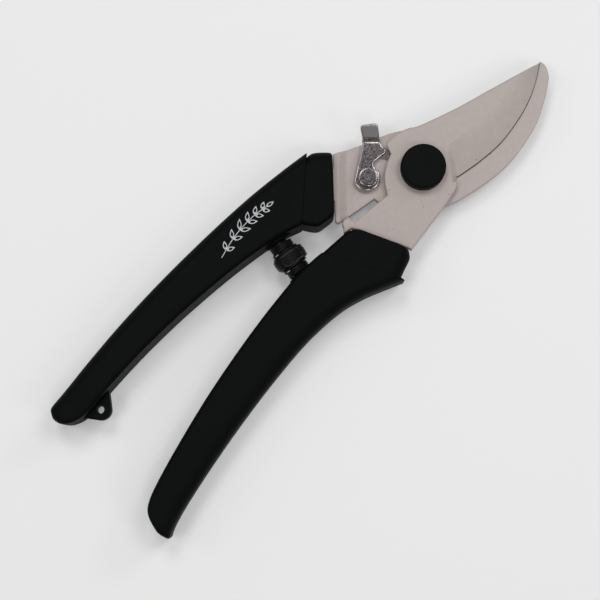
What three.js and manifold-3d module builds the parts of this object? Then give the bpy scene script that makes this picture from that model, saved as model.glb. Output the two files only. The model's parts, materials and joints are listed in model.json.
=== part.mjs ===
// Bypass pruning shears, closed and locked, as an assembly of separate pieces.
// Millimetres. The pivot axis is Z through the origin, and the closed blades point along +X.
// The shears lie flat: z = 0 is the plane that the pivot's nut cap and the grips' undersides rest on.
// The hook and its handle lie on the +Y side of the handles' gap, the blade's handle on the -Y side.
import * as THREE from "three";
import { mergeVertices } from "three/addons/utils/BufferGeometryUtils.js";
import Module from "manifold-3d";

const wasm = await Module();
wasm.setup();

// ---------------------------------------------------------------- driving sizes

// Plates
const hookThickness = 3;
const bladeThickness = 3;
const bladeReach = 54; // pivot to the blade's tip
const hookTipBeyond = 1; // how far the hook passes the blade's tip
const hookOverlap = 2.2; // how far the closed blade passes the hook's inner edge
const bossRadius = 14.4; // the blade plate's round boss
const edgeThickness = 0.4; // steel left at the ground cutting edge
const joggle = 1.5; // step in the hook plate beside its handle
const closingStopGap = 0.15; // between the blade's shoulder and the hook plate's edge when closed

// Handles
const gripThickness = 16;
const gripWall = 2.4; // of the soft sleeve over the core
const outerShoulder = 4.5; // rounding of a handle's outer edge
const innerShoulder = 1.6; // rounding of a handle's inner edge
const thumbGripLength = 119.5; // hook side
const fingerGripLength = 113.2; // blade side
const collarStep = 0.5; // how far a collar's face stands below its grip's face
const gripLip = 1.3; // how far a grip's front lip stands out past its collar
const collarBevel = 1.2; // bevel round a collar's front edge
const tangWidth = 11; // at the collar
const tangTipWidth = 8;
const tangPinRadius = 1.5;
const tabThickness = 4.8; // lanyard tab
const tabRootThickness = 4; // of the tab where it runs into its sleeve
const tabRadius = 3.4;
const lanyardHoleRadius = 1.25;

// Pivot
const pivotRadius = 4; // the bolt's shoulder
const bushWall = 1.2;
const threadRadius = 3;
const boltHeadRadius = 6.2;
const boltHeadHeight = 2.4;
const nutAcrossFlats = 10;
const nutHeight = 2.8;
const pivotWasherThickness = 0.6;
const pivotWasherRadius = 5.6;
const capRadius = 7.4;
const capHeight = 4.5;
const capWall = 0.9;
const nutCapHeight = 5;
const nutCapRadius = 8;

// Catch
const leverThickness = 2;
const leverNoseThickness = 1;
const leverPivot = new THREE.Vector2(-14.7, 10.6);
const leverHeelRadius = 4.5;
const leverHeelOffset = 0.5; // of the heel's round from the rivet, to the left
const tabRise = 3.2; // how far the thumb tab stands above the catch's flat
const rivetRadius = 1.7;
const rivetHeadRadius = 3.15;
const rivetHeadHeight = 1.1;
const rivetTailHeight = 0.8;
const burrRadius = 3.4;
const burrThickness = 0.7;
const waveWasherThickness = 0.4;

// Spring between the handles
const springEndRadius = 4;
const springMiddleRadius = 6;
const springMiddleLength = 4.8;
const springBoreRadius = 3;
const springReach = 51.7; // pivot to the spring's middle, along X
const springSide = 10; // and along Y
const springLean = 9.7; // degrees, from straight across the gap towards the tails
const springLength = 12;
const pegRadius = 2.4;
const pegLength = 4;
const seatRadius = 4.6;

// Clearances
const fitGap = 0.3; // between pieces that are moulded, bent or slotted together
const pinGap = 0.1; // round a pin, rivet or bolt in its hole
const runningGap = 0.1; // under a fixed cap or head that a turning plate passes

// ---------------------------------------------------------------- heights and angles that follow

const hookBottom = nutCapHeight;
const platesMeet = hookBottom + hookThickness;
const bladeTop = platesMeet + bladeThickness;
const tangBottom = hookBottom + joggle;
const tangTop = platesMeet + joggle;
const halfGrip = gripThickness / 2;
const leverBottom = platesMeet + waveWasherThickness;
const leverTop = leverBottom + leverThickness;
const noseTop = leverBottom + leverNoseThickness;
const openingAngle = 26; // degrees, the pivot's range
const degrees = Math.PI / 180;
const wellAbove = 60; // reach of a cutting block that must clear every piece

// ---------------------------------------------------------------- helpers

function toSolid(geometry) {
  const bare = geometry.clone();
  bare.deleteAttribute("normal");
  bare.deleteAttribute("uv");
  const merged = mergeVertices(bare, 1e-4);
  return new wasm.Manifold(new wasm.Mesh({
    numProp: 3,
    vertProperties: new Float32Array(merged.attributes.position.array),
    triVerts: new Uint32Array(merged.index.array),
  }));
}

function toGeometry(solid) {
  const mesh = solid.getMesh();
  const geometry = new THREE.BufferGeometry();
  geometry.setAttribute("position", new THREE.BufferAttribute(mesh.vertProperties, 3));
  geometry.setIndex(new THREE.BufferAttribute(mesh.triVerts, 1));
  geometry.computeVertexNormals();
  return geometry;
}

const point = (x, y) => new THREE.Vector2(x, y);
const polar = (radius, angle) => point(radius * Math.cos(angle * degrees), radius * Math.sin(angle * degrees));

// A flat outline made solid between two heights.
function slab(shape, low, high) {
  const geometry = new THREE.ExtrudeGeometry(shape, { depth: high - low, bevelEnabled: false, curveSegments: 6 });
  return toSolid(geometry.translate(0, 0, low));
}

// A piece turned about a vertical axis. Its profile runs up the outside as [radius, height] pairs,
// and back down the bore if it has one.
function turned(profile, centre = point(0, 0), sides = 40) {
  const closed = [...profile, profile[0]].map(([radius, height]) => point(radius, height));
  const geometry = new THREE.LatheGeometry(closed, sides).rotateX(Math.PI / 2);
  return toSolid(geometry.translate(centre.x, centre.y, 0));
}

function post(centre, radius, low, high, sides = 24) {
  return turned([[0, low], [radius, low], [radius, high], [0, high]], centre, sides);
}

function ring(centre, bore, radius, low, high, sides = 32) {
  return turned([[bore, low], [radius, low], [radius, high], [bore, high]], centre, sides);
}

// A closed skin over a row of sections, each a convex loop of the same number of points.
function loft(sections) {
  const around = sections[0].length;
  const faces = [];
  for (let row = 0; row + 1 < sections.length; row += 1) {
    for (let i = 0; i < around; i += 1) {
      const a = row * around + i;
      const b = row * around + ((i + 1) % around);
      faces.push(a, b, b + around, a, b + around, a + around);
    }
  }
  const last = (sections.length - 1) * around;
  for (let i = 1; i + 1 < around; i += 1) {
    faces.push(0, i + 1, i, last, last + i, last + i + 1);
  }
  const corners = sections.flat();
  if (enclosedVolume(corners, faces) < 0) {
    faces.reverse();
  }
  const geometry = new THREE.BufferGeometry().setFromPoints(corners);
  geometry.setIndex(faces);
  return toSolid(geometry);
}

function enclosedVolume(corners, faces) {
  const cross = new THREE.Vector3();
  let volume = 0;
  for (let i = 0; i < faces.length; i += 3) {
    const [a, b, c] = [faces[i], faces[i + 1], faces[i + 2]].map((index) => corners[index]);
    volume += a.dot(cross.crossVectors(b, c)) / 6;
  }
  return volume;
}

// A plate bent across one direction: its flat outline, and its side profile as [distance along that
// direction, height] pairs measured from the point where the direction starts.
function bentPlate(outline, profile, start, heading) {
  const side = new THREE.Shape(profile.map(([along, height]) => point(along, height)));
  const geometry = new THREE.ExtrudeGeometry(side, { depth: 2 * wellAbove, bevelEnabled: false });
  geometry.translate(0, 0, -wellAbove);
  geometry.rotateX(Math.PI / 2).rotateZ(heading * degrees).translate(start.x, start.y, 0);
  const sheet = toSolid(geometry);
  return slab(outline, 0, wellAbove).intersect(sheet);
}

// A tapered strip along a curve with a round far end, used for the tangs.
function strip(curve, startWidth, endWidth, grow) {
  const steps = 8;
  const left = [];
  const right = [];
  for (let i = 0; i <= steps; i += 1) {
    const along = curve.getTangent(i / steps);
    const middle = curve.getPoint(i / steps);
    const half = THREE.MathUtils.lerp(startWidth, endWidth, i / steps) / 2 + grow;
    left.push(point(middle.x - along.y * half, middle.y + along.x * half));
    right.unshift(point(middle.x + along.y * half, middle.y - along.x * half));
  }
  const end = curve.getPoint(1);
  const heading = Math.atan2(curve.getTangent(1).y, curve.getTangent(1).x);
  const tip = [];
  for (let angle = 75; angle > -90; angle -= 15) {
    const turn = heading + angle * degrees;
    const radius = endWidth / 2 + grow;
    tip.push(point(end.x + radius * Math.cos(turn), end.y + radius * Math.sin(turn)));
  }
  return new THREE.Shape([...left, ...tip, ...right]);
}

const group = new THREE.Group();

function addPiece(name, solid, material) {
  const mesh = new THREE.Mesh(toGeometry(solid), material);
  mesh.name = name;
  group.add(mesh);
}

// ---------------------------------------------------------------- materials

const finish = (color, roughness, metalness) => new THREE.MeshStandardMaterial({ color, roughness, metalness });
const coatedSteel = finish(0xaea29c, 0.5, 0.35);
const brightSteel = finish(0x9a9496, 0.25, 1);
const zincSteel = finish(0x8d8f92, 0.45, 1);
const springSteel = finish(0x1c1a1b, 0.35, 0.8);
const bronze = finish(0x8f6b3e, 0.4, 0.9);
const softGrip = finish(0x121414, 0.6, 0);
const hardPlastic = finish(0x141616, 0.45, 0);
const capPlastic = finish(0x131516, 0.4, 0);

// ---------------------------------------------------------------- handles

// Each handle is a row of stations from its collar to its tail. A station is the outer edge's place
// and the inner edge's place: [share of the grip's length, Y] for a grip, [X, Y] for a collar.
const thumbHandle = {
  gripStart: -23.7,
  gripLength: thumbGripLength,
  collar: [
    [[-17.4, 24.7], [-31.9, 9.3]],
    [[-20.1, 27.5], [-35.5, 9.7]],
    [[-22.4, 29.2], [-38.8, 10.6]],
  ],
  grip: [
    [[0, 30.6], [0.155, 14.4]],
    [[0.08, 31.9], [0.21, 16.6]],
    [[0.2, 33.3], [0.31, 18.8]],
    [[0.35, 34], [0.43, 20.4]],
    [[0.52, 34], [0.57, 21.4]],
    [[0.68, 33.2], [0.71, 21.5]],
    [[0.82, 31.7], [0.83, 20.8]],
    [[0.91, 30.4], [0.92, 19.9]],
    [[0.955, 29.8], [0.965, 20.9]],
    [[0.98, 29.3], [0.99, 23.2]],
    [[0.99, 28.5], [1, 26.3]],
  ],
};

const fingerHandle = {
  gripStart: -31,
  gripLength: fingerGripLength,
  collar: [
    [[-22.5, -15.4], [-29.8, 0.5]],
    [[-24.4, -18], [-33, 2.3]],
    [[-28, -19.4], [-38, 2.8]],
  ],
  grip: [
    [[0, -21.9], [0.115, 3.4]],
    [[0.055, -19.2], [0.15, 3.7]],
    [[0.12, -16.3], [0.2, 3.8]],
    [[0.2, -14.2], [0.26, 3.3]],
    [[0.32, -13.6], [0.37, 1.8]],
    [[0.46, -14.9], [0.5, -0.6]],
    [[0.61, -17.2], [0.64, -3.8]],
    [[0.76, -20.2], [0.78, -7.8]],
    [[0.88, -23.1], [0.89, -11.4]],
    [[0.94, -24.9], [0.955, -14.2]],
    [[0.97, -26.1], [0.985, -17.2]],
    [[0.985, -26.9], [1, -22.5]],
    [[0.993, -27.1], [1, -25]],
  ],
};

const gripX = (handle, share) => handle.gripStart - share * handle.gripLength;

// A line across a handle, moved forward towards the pivot.
function movedForward([outer, inner], distance) {
  const along = outer.clone().sub(inner).normalize();
  const forward = point(Math.abs(along.y), -Math.sign(along.y) * along.x).multiplyScalar(distance);
  return [outer.clone().add(forward), inner.clone().add(forward)];
}

// The line where a plate stops, just in front of its handle's collar.
function plateEnd(handle) {
  return movedForward(handle.collar[0].map((place) => point(...place)), fitGap);
}

// The collar's back line: just in front of the grip, whose lip stands out past it.
function collarBack(handle) {
  const [outer, inner] = gripEdges(handle).map((edge) => edge.getPoint(0));
  const along = inner.clone().sub(outer).normalize();
  const narrowed = [outer.addScaledVector(along, gripLip), inner.addScaledVector(along, -collarStep)];
  return movedForward(narrowed, fitGap);
}

function collarEdges(handle) {
  const back = collarBack(handle);
  return [0, 1].map((edge) => {
    const places = handle.collar.map((station) => point(...station[edge]));
    return new THREE.SplineCurve([...places, back[edge]]);
  });
}

function gripEdges(handle) {
  return [0, 1].map((edge) => new THREE.SplineCurve(handle.grip.map((station) => {
    const [share, side] = station[edge];
    return point(gripX(handle, share), side);
  })));
}

// One upright section between an outer and an inner edge point, with rounded corners. The inset
// moves its whole outline inward.
function handleSection(outer, inner, half, inset) {
  const across = inner.clone().sub(outer);
  const width = across.length() - 2 * inset;
  across.normalize();
  const height = half - inset;
  const outerRound = Math.max(Math.min(outerShoulder - inset, width * 0.45, height * 0.9), 0.4);
  const innerRound = Math.max(Math.min(innerShoulder - inset, width * 0.45, height * 0.9), 0.4);
  const corners = [
    [outerRound, outerRound - height, outerRound, 180],
    [width - innerRound, innerRound - height, innerRound, 270],
    [width - innerRound, height - innerRound, innerRound, 0],
    [outerRound, height - outerRound, outerRound, 90],
  ];
  const loop = [];
  for (const [along, up, radius, from] of corners) {
    for (let angle = from; angle <= from + 90; angle += 30) {
      const share = inset + along + radius * Math.cos(angle * degrees);
      const z = platesMeet + up + radius * Math.sin(angle * degrees);
      loop.push(new THREE.Vector3(outer.x + across.x * share, outer.y + across.y * share, z));
    }
  }
  return loop;
}

// Half the grip's thickness, drawn in over its tail.
function gripHalfAt(t) {
  const tailFrom = 0.75;
  const tailDraw = 0.4;
  const along = Math.max(0, (t - tailFrom) / (1 - tailFrom));
  return halfGrip * (1 - tailDraw * along ** 3);
}

function gripSections(handle, from, to, inset) {
  const [outer, inner] = gripEdges(handle);
  const steps = Math.round((to - from) * 2 * (handle.grip.length - 1));
  const sections = [];
  for (let i = 0; i <= steps; i += 1) {
    const t = THREE.MathUtils.lerp(from, to, i / steps);
    sections.push(handleSection(outer.getPoint(t), inner.getPoint(t), gripHalfAt(t), inset));
  }
  return sections;
}

// The part of a handle inside its soft sleeve, from within the collar to near the tail.
function innerBody(handle, inset, to) {
  const [outer, inner] = collarEdges(handle);
  const lead = handleSection(outer.getPoint(0.6), inner.getPoint(0.6), halfGrip, inset);
  return loft([lead, ...gripSections(handle, 0, to, inset)]);
}

function collarBody(handle) {
  const [outer, inner] = collarEdges(handle);
  const half = halfGrip - collarStep;
  const rows = [[0, collarBevel], [0.12, 0], [0.34, 0], [0.67, 0], [1, 0]];
  return loft(rows.map(([t, inset]) => handleSection(outer.getPoint(t), inner.getPoint(t), half, inset)));
}

const coreReach = 0.84; // how far the core runs into its sleeve, as a share of the stations
const cavityReach = 0.86;

// ---------------------------------------------------------------- spring axis, pegs and seats

const springMiddle = new THREE.Vector3(-springReach, springSide, platesMeet);
const springAxis = new THREE.Vector3(-Math.sin(springLean * degrees), -Math.cos(springLean * degrees), 0);

// A piece turned about the spring's axis. Heights run from the hook's handle to the blade's.
function aboutSpring(profile) {
  const geometry = new THREE.LatheGeometry([...profile, profile[0]].map(([r, h]) => point(r, h)), 28);
  geometry.applyQuaternion(new THREE.Quaternion().setFromUnitVectors(new THREE.Vector3(0, 1, 0), springAxis));
  return toSolid(geometry.translate(springMiddle.x, springMiddle.y, springMiddle.z));
}

const seatFace = springLength / 2 + fitGap; // from the spring's middle
const seatRoot = seatFace + gripWall + 3.2;

// A profile for the blade's side, or mirrored for the hook's side, where side is -1.
const onSide = (profile, side) => (side > 0 ? profile : profile.map(([r, h]) => [r, -h]).reverse());

// The seat and peg that a core holds out to the spring.
function springSeat(side) {
  return aboutSpring(onSide([
    [0, seatFace - pegLength],
    [pegRadius, seatFace - pegLength],
    [pegRadius, seatFace],
    [seatRadius, seatFace],
    [seatRadius, seatRoot],
    [0, seatRoot],
  ], side));
}

// The hole that a seat needs through the soft sleeve, open towards the spring.
function seatHole(side) {
  const radius = seatRadius + fitGap;
  return aboutSpring(onSide([[0, seatFace - 2], [radius, seatFace - 2], [radius, seatRoot], [0, seatRoot]], side));
}

function springBody() {
  const half = springLength / 2;
  const middle = springMiddleLength / 2;
  const taper = 0.8;
  return aboutSpring([
    [springBoreRadius, -half],
    [springEndRadius, -half],
    [springEndRadius, -middle - taper],
    [springMiddleRadius, -middle],
    [springMiddleRadius, middle],
    [springEndRadius, middle + taper],
    [springEndRadius, half],
    [springBoreRadius, half],
  ]);
}

// ---------------------------------------------------------------- tangs and their pins

// Each tang runs from its plate's back edge into the core.
const thumbTang = new THREE.QuadraticBezierCurve(point(-24.2, 17.2), point(-38, 27), point(-64, 27.4));
const fingerTang = new THREE.QuadraticBezierCurve(point(-25.5, -7.7), point(-44, -6.4), point(-66, -5.6));
const pinShares = [0.42, 0.86]; // along the tang

function pinCentres(tang) {
  return pinShares.map((share) => tang.getPoint(share));
}

function drill(solid, centres, radius) {
  return centres.reduce((rest, centre) => rest.subtract(post(centre, radius, 0, wellAbove)), solid);
}

const pinLow = platesMeet - halfGrip + gripWall + 1;
const pinHigh = platesMeet + halfGrip - gripWall - 1;

function handleCore(handle, tang, slotLow, slotHigh, seatSide) {
  const slot = slab(strip(tang, tangWidth, tangTipWidth, fitGap), slotLow - fitGap, slotHigh + fitGap);
  const body = collarBody(handle)
    .add(innerBody(handle, gripWall + fitGap, coreReach))
    .add(springSeat(seatSide))
    .subtract(slot);
  return drill(body, pinCentres(tang), tangPinRadius + pinGap);
}

function handleGrip(handle, seatSide) {
  return loft(gripSections(handle, 0, 1, 0))
    .subtract(innerBody(handle, gripWall, cavityReach))
    .subtract(seatHole(seatSide));
}

function tangPin(centre) {
  const chamfer = 0.3;
  return turned([
    [0, pinLow],
    [tangPinRadius - chamfer, pinLow],
    [tangPinRadius, pinLow + chamfer],
    [tangPinRadius, pinHigh - chamfer],
    [tangPinRadius - chamfer, pinHigh],
    [0, pinHigh],
  ], centre, 24);
}

// ---------------------------------------------------------------- lanyard tab

const lanyardHole = point(gripX(thumbHandle, 0.891), 18.1);

function tabSlab(thickness, growth) {
  const shape = new THREE.Shape();
  const radius = tabRadius + growth;
  shape.moveTo(lanyardHole.x + 8 + growth, lanyardHole.y + 5);
  shape.lineTo(lanyardHole.x - 8 - growth, lanyardHole.y + 5);
  shape.absarc(lanyardHole.x, lanyardHole.y, radius, 215 * degrees, 322 * degrees, false);
  shape.closePath();
  const half = thickness / 2 + growth;
  return slab(shape, platesMeet - half, platesMeet + half);
}

// The tab has its full thickness only outside the sleeve, so it stands against the sleeve's wall.
function lanyardTab() {
  const outside = tabSlab(tabThickness, 0).subtract(loft(gripSections(thumbHandle, 0, 1, -fitGap)));
  return outside.add(tabSlab(tabRootThickness, 0));
}

// ---------------------------------------------------------------- cutting edge and hook outlines

const heel = point(6.7, -10.2); // where the cutting edge starts beside the boss
const bladeTip = point(bladeReach, -2.5);
const alongBlade = (share) => THREE.MathUtils.lerp(heel.x, bladeReach, share);

const cuttingEdge = new THREE.SplineCurve([
  heel,
  point(alongBlade(0.19), -11.7),
  point(alongBlade(0.4), -12.2),
  point(alongBlade(0.64), -10.4),
  point(alongBlade(0.83), -7.2),
  bladeTip,
]);

// The line where the ground face meets the blade's flat.
const grindLine = new THREE.SplineCurve([
  point(12.3, -0.5),
  point(alongBlade(0.35), -2.3),
  point(alongBlade(0.6), -2.7),
  point(alongBlade(0.82), -2.3),
  point(bladeReach - 0.8, -2.4),
]);

function offsetPoints(curve, distance, from, to, steps) {
  const points = [];
  for (let i = 0; i <= steps; i += 1) {
    const t = THREE.MathUtils.lerp(from, to, i / steps);
    const along = curve.getTangent(t);
    const middle = curve.getPoint(t);
    points.push(point(middle.x - along.y * distance, middle.y + along.x * distance));
  }
  return points;
}

function bladeOutline() {
  const [endOuter, endInner] = plateEnd(fingerHandle);
  const shape = new THREE.Shape();
  shape.moveTo(bladeTip.x, bladeTip.y);
  shape.splineThru([point(alongBlade(0.6), 2.9), point(alongBlade(0.35), 6.2), point(10.5, 10.6), polar(bossRadius, 61)]);
  shape.absarc(0, 0, bossRadius, 61 * degrees, 101 * degrees, false);
  shape.lineTo(-3.8, 10.9);
  shape.splineThru([point(-7.4, 9.4), point(-11.3, 6.6), point(-14.6, 2)]);
  shape.lineTo(-28.5, 3.3);
  shape.lineTo(-28.7, 6.1 - closingStopGap);
  shape.lineTo(-30.6, 6.5 - closingStopGap);
  shape.quadraticCurveTo(-32, 6, -32.4, 4.6);
  shape.lineTo(-33.6, 3.1);
  shape.lineTo(endInner.x - 1.2, endInner.y + 1.8);
  shape.lineTo(endInner.x, endInner.y);
  shape.lineTo(endOuter.x, endOuter.y);
  shape.lineTo(endOuter.x + 0.4, endOuter.y - 1.2);
  shape.splineThru([point(-13.4, -15.3), point(-4, -14), point(1.5, -12.9)]);
  shape.quadraticCurveTo(4.6, -12.6, 5.2, -10.2);
  shape.lineTo(heel.x, heel.y);
  shape.splineThru(cuttingEdge.getPoints(16).slice(1, -1));
  return shape;
}

function hookOutline() {
  const edge = cuttingEdge;
  const tipX = bladeReach + hookTipBeyond;
  const innerEdge = offsetPoints(edge, hookOverlap, 0.22, 0.93, 12);
  const shape = new THREE.Shape();
  const [endOuter, endInner] = plateEnd(thumbHandle);
  shape.moveTo(endOuter.x, endOuter.y);
  shape.lineTo(endInner.x, endInner.y);
  shape.quadraticCurveTo(-33.7, 7.2, -31.6, 6.7);
  shape.lineTo(-17.9, 4.4);
  shape.quadraticCurveTo(-17.2, -9.5, -3.5, -14);
  shape.splineThru([
    point(4.2, -16.4),
    point(alongBlade(0.19), -18.5),
    point(alongBlade(0.4), -18.6),
    point(alongBlade(0.64), -16.4),
    point(alongBlade(0.83), -12.3),
    point(alongBlade(0.97), -8),
  ]);
  shape.quadraticCurveTo(tipX + 0.6, -4.6, tipX - 0.4, -2.1);
  shape.splineThru(innerEdge.reverse());
  shape.splineThru([polar(bossRadius + 0.6, -20), polar(bossRadius, 10), polar(bossRadius, 40), point(7.6, 12.4)]);
  shape.splineThru([point(1.2, 16.4), point(-8.2, 20.3), endOuter]);
  return shape;
}

// The wedge that grinding takes off the blade's top, down to the cutting edge.
function grindWedge() {
  const steps = 10;
  const margin = 1.5;
  const sections = [];
  for (let i = 0; i <= steps; i += 1) {
    const line = grindLine.getPoint(i / steps);
    const edge = cuttingEdge.getPoint(i / steps);
    const beyond = 1 + margin / line.distanceTo(edge);
    const outside = line.clone().lerp(edge, beyond);
    const low = bladeTop - (bladeThickness - edgeThickness) * beyond;
    sections.push([
      new THREE.Vector3(line.x, line.y, bladeTop),
      new THREE.Vector3(outside.x, outside.y, low),
      new THREE.Vector3(outside.x, outside.y, bladeTop + 1),
      new THREE.Vector3(line.x, line.y, bladeTop + 1),
    ]);
  }
  return loft(sections);
}

// ---------------------------------------------------------------- catch

const leverHeading = 45; // degrees, from its rivet to its thumb tab
const alongLever = point(Math.cos(leverHeading * degrees), Math.sin(leverHeading * degrees));

// A place on the catch: distance along it from the rivet, and to its left.
function onLever(along, left) {
  return point(
    leverPivot.x + alongLever.x * along - alongLever.y * left,
    leverPivot.y + alongLever.y * along + alongLever.x * left,
  );
}

function leverOutline() {
  const heelArc = [];
  for (let angle = 110; angle <= 300; angle += 15) {
    const spot = polar(leverHeelRadius, angle);
    heelArc.push(onLever(spot.x, spot.y + leverHeelOffset));
  }
  const edge = [
    [3.4, -2.2], [4.7, -2.5], [6.7, -5.2], [8, -7.5], [9.4, -6.4], [10.5, -5.4], [12.2, -4.3],
    [16.6, -3.3], [17.4, -2.6], [16.9, 2.3], [16.2, 2.8], [12.4, 1.7],
  ];
  return new THREE.Shape([...heelArc, ...edge.map(([along, left]) => onLever(along, left))]);
}

function lockLever() {
  const bend = 11.8;
  const profile = [
    [-10, leverBottom],
    [bend + 0.8, leverBottom],
    [bend + 2.6, leverBottom + tabRise],
    [25, leverBottom + tabRise + 1],
    [25, leverTop + tabRise + 1],
    [bend + 1.8, leverTop + tabRise],
    [bend, leverTop],
    [-10, leverTop],
  ];
  const swept = post(point(0, 0), bossRadius + fitGap, noseTop, wellAbove, 64);
  return bentPlate(leverOutline(), profile, leverPivot, leverHeading)
    .subtract(swept)
    .subtract(post(leverPivot, rivetRadius + pinGap, 0, wellAbove));
}

// The recess under the boss's rim that the catch's nose passes through as the blade turns.
function noseRecess() {
  const shape = new THREE.Shape();
  const inside = bossRadius - 3.4;
  const outside = bossRadius + 2;
  const from = 101 - openingAngle + 2;
  shape.absarc(0, 0, outside, from * degrees, 114 * degrees, false);
  shape.absarc(0, 0, inside, 114 * degrees, from * degrees, true);
  return slab(shape, platesMeet - 1, noseTop + fitGap);
}

// ---------------------------------------------------------------- plates

function counterBlade() {
  // The joggle runs across the direction from the pivot end to the handle.
  const heading = 135;
  const rampStart = 25.3;
  const rampEnd = 27.6;
  const profile = [
    [-80, hookBottom],
    [rampStart, hookBottom],
    [rampEnd, tangBottom],
    [80, tangBottom],
    [80, tangTop],
    [rampEnd, tangTop],
    [rampStart, platesMeet],
    [-80, platesMeet],
  ];
  const plate = bentPlate(hookOutline(), profile, point(0, 0), heading);
  const tang = slab(strip(thumbTang, tangWidth, tangTipWidth, 0), tangBottom, tangTop);
  const whole = drill(plate.add(tang), pinCentres(thumbTang), tangPinRadius + pinGap);
  return whole
    .subtract(post(point(0, 0), pivotRadius + pinGap, 0, wellAbove, 48))
    .subtract(post(leverPivot, rivetRadius + pinGap, 0, wellAbove));
}

function cuttingBlade() {
  const tang = slab(strip(fingerTang, tangWidth, tangTipWidth, 0), platesMeet, bladeTop);
  const plate = slab(bladeOutline(), platesMeet, bladeTop).subtract(grindWedge()).subtract(noseRecess());
  const whole = drill(plate.add(tang), pinCentres(fingerTang), tangPinRadius + pinGap);
  return whole.subtract(post(point(0, 0), pivotRadius + bushWall + pinGap * 1.5, 0, wellAbove, 48));
}

// ---------------------------------------------------------------- pivot hardware

const axis = point(0, 0);

function pivotBolt() {
  const threadEnd = hookBottom - pivotWasherThickness - nutHeight - 0.4;
  const headLow = bladeTop + runningGap;
  const chamfer = 0.5;
  return turned([
    [0, threadEnd],
    [threadRadius - chamfer, threadEnd],
    [threadRadius, threadEnd + chamfer],
    [threadRadius, hookBottom],
    [pivotRadius, hookBottom],
    [pivotRadius, headLow],
    [boltHeadRadius, headLow],
    [boltHeadRadius, headLow + boltHeadHeight - chamfer],
    [boltHeadRadius - chamfer, headLow + boltHeadHeight],
    [0, headLow + boltHeadHeight],
  ], axis, 48);
}

function pivotNut() {
  const high = hookBottom - pivotWasherThickness;
  const corner = nutAcrossFlats / 2 / Math.cos(30 * degrees);
  return post(axis, corner, high - nutHeight, high, 6).subtract(post(axis, threadRadius + pinGap, 0, wellAbove));
}

// A hollow cap, open towards the plates: its rim at one height and its closed face at the other.
function hollowCap(radius, wall, rim, face) {
  const away = Math.sign(face - rim);
  const chamfer = 0.5;
  const profile = [
    [0, face - away * wall],
    [radius - wall, face - away * wall],
    [radius - wall, rim],
    [radius, rim],
    [radius, face - away * chamfer],
    [radius - chamfer, face],
    [0, face],
  ];
  return turned(away > 0 ? profile : profile.reverse(), axis, 48);
}

function lockRivet() {
  const tailTop = hookBottom - burrThickness;
  const headTop = leverTop + rivetHeadHeight;
  const chamfer = 0.3;
  return turned([
    [0, tailTop - rivetTailHeight],
    [rivetRadius + 0.9, tailTop - rivetTailHeight],
    [rivetRadius + 0.9, tailTop],
    [rivetRadius, tailTop],
    [rivetRadius, leverTop],
    [rivetHeadRadius, leverTop],
    [rivetHeadRadius, headTop - chamfer],
    [rivetHeadRadius - chamfer, headTop],
    [0, headTop],
  ], leverPivot, 32);
}

// ---------------------------------------------------------------- assembly

addPiece("counter_blade", counterBlade(), coatedSteel);
addPiece("cutting_blade", cuttingBlade(), coatedSteel);

const thumbCore = handleCore(thumbHandle, thumbTang, tangBottom, tangTop, -1)
  .add(lanyardTab())
  .subtract(post(lanyardHole, lanyardHoleRadius, 0, wellAbove, 20));
addPiece("hook_handle_core", thumbCore, hardPlastic);
addPiece("hook_handle_grip", handleGrip(thumbHandle, -1).subtract(tabSlab(tabRootThickness, fitGap)), softGrip);
addPiece("blade_handle_core", handleCore(fingerHandle, fingerTang, platesMeet, bladeTop, 1), hardPlastic);
addPiece("blade_handle_grip", handleGrip(fingerHandle, 1), softGrip);

const [thumbPinFront, thumbPinRear] = pinCentres(thumbTang);
const [fingerPinFront, fingerPinRear] = pinCentres(fingerTang);
addPiece("hook_tang_pin_front", tangPin(thumbPinFront), zincSteel);
addPiece("hook_tang_pin_rear", tangPin(thumbPinRear), zincSteel);
addPiece("blade_tang_pin_front", tangPin(fingerPinFront), zincSteel);
addPiece("blade_tang_pin_rear", tangPin(fingerPinRear), zincSteel);

addPiece("pivot_bolt", pivotBolt(), zincSteel);
addPiece("pivot_bush", ring(axis, pivotRadius + pinGap, pivotRadius + bushWall, platesMeet, bladeTop, 48), bronze);
addPiece("pivot_washer", ring(axis, threadRadius + pinGap, pivotWasherRadius, hookBottom - pivotWasherThickness, hookBottom), zincSteel);
addPiece("pivot_nut", pivotNut(), zincSteel);
addPiece("pivot_cap", hollowCap(capRadius, capWall, bladeTop + runningGap, bladeTop + capHeight), capPlastic);
addPiece("nut_cap", hollowCap(nutCapRadius, capWall, hookBottom, hookBottom - nutCapHeight), capPlastic);

addPiece("lock_lever", lockLever(), brightSteel);
addPiece("lock_wave_washer", ring(leverPivot, rivetRadius + pinGap, rivetHeadRadius, platesMeet, leverBottom), springSteel);
addPiece("lock_rivet", lockRivet(), brightSteel);
addPiece("lock_rivet_burr", ring(leverPivot, rivetRadius + pinGap, burrRadius, hookBottom - burrThickness, hookBottom), zincSteel);

addPiece("spring", springBody(), springSteel);

export default group;
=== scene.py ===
import json
from math import atan2, copysign, cos, degrees, pi, radians, sin, sqrt

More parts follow.
